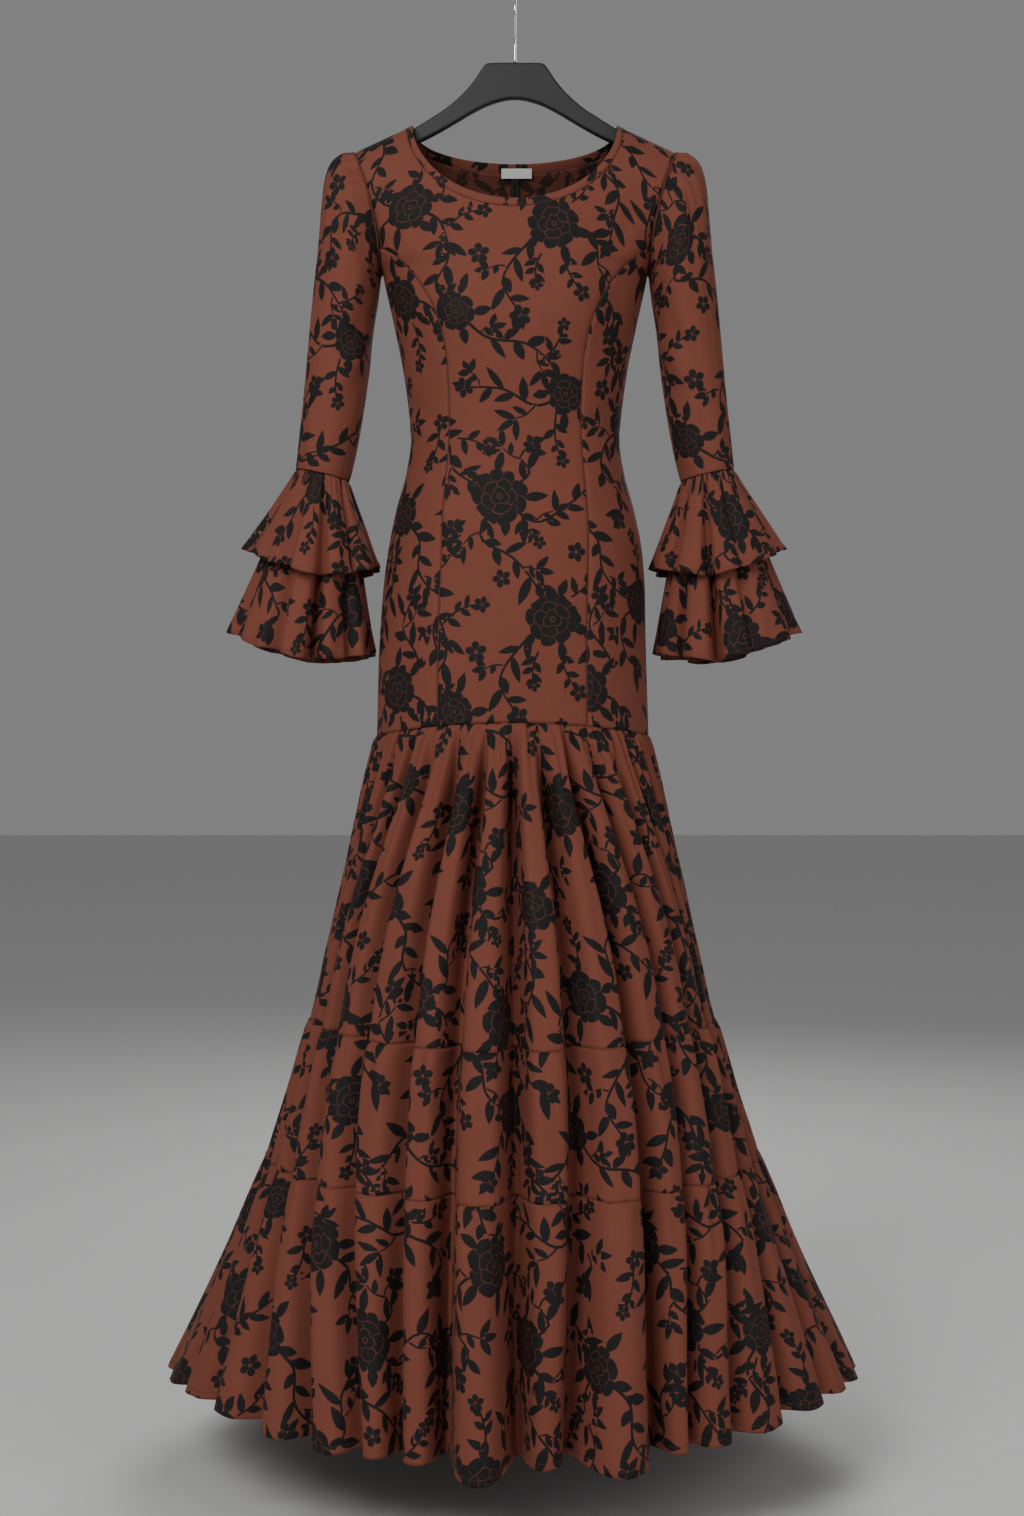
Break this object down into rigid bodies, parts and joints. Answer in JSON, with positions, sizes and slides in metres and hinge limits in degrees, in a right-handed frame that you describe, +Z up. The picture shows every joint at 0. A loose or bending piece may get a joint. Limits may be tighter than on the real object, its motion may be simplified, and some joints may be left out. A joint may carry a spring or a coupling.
{
  "type": "flamenco dress on a hanger",
  "caption": "Long-sleeved floral flamenco dress with tiered skirt and double sleeve ruffles, filled out on a plain hanger with a wire hook.",
  "frame": {"origin": "inside top of the hook, where it rests on a rod", "axes": "+Z up, the dress's front faces -Y, +X to the right as seen from the front"},
  "size_m": [0.8199, 0.7798, 1.6504],
  "materials": {
    "printed_crepe": "matt rust crepe with a black floral print",
    "zip_tape": "black woven tape with a fine coil",
    "zip_metal": "black lacquered metal",
    "label_satin": "white woven satin, bare",
    "hanger_charcoal": "matt charcoal",
    "hook_chrome": "polished wire"
  },
  "bodies": {
    "root": {"bodice_front_centre": "printed_crepe", "bodice_front_side_left": "printed_crepe", "bodice_front_side_right": "printed_crepe", "bodice_back_left": "printed_crepe", "bodice_back_right": "printed_crepe", "neck_band": "printed_crepe", "sleeve_left": "printed_crepe", "sleeve_right": "printed_crepe", "ruffle_upper_left": "printed_crepe", "ruffle_upper_right": "printed_crepe", "ruffle_lower_left": "printed_crepe", "ruffle_lower_right": "printed_crepe", "skirt_upper_front": "printed_crepe", "skirt_upper_back": "printed_crepe", "skirt_middle_front": "printed_crepe", "skirt_middle_back": "printed_crepe", "skirt_hem_front": "printed_crepe", "skirt_hem_back": "printed_crepe", "zip_tape": "zip_tape", "zip_slider": "zip_metal", "label": "label_satin", "hanger": "hanger_charcoal", "hook": "hook_chrome"},
    "pull_tab": {"zip_pull": "zip_metal"}
  },
  "joints": [
    {"name": "pull_tab_swing", "type": "hinge", "parent": "root", "child": "pull_tab", "pos_m": [0, 0.06099, -0.21055], "axis": [1, 0, 0], "range_deg": [0, 160]}
  ]
}
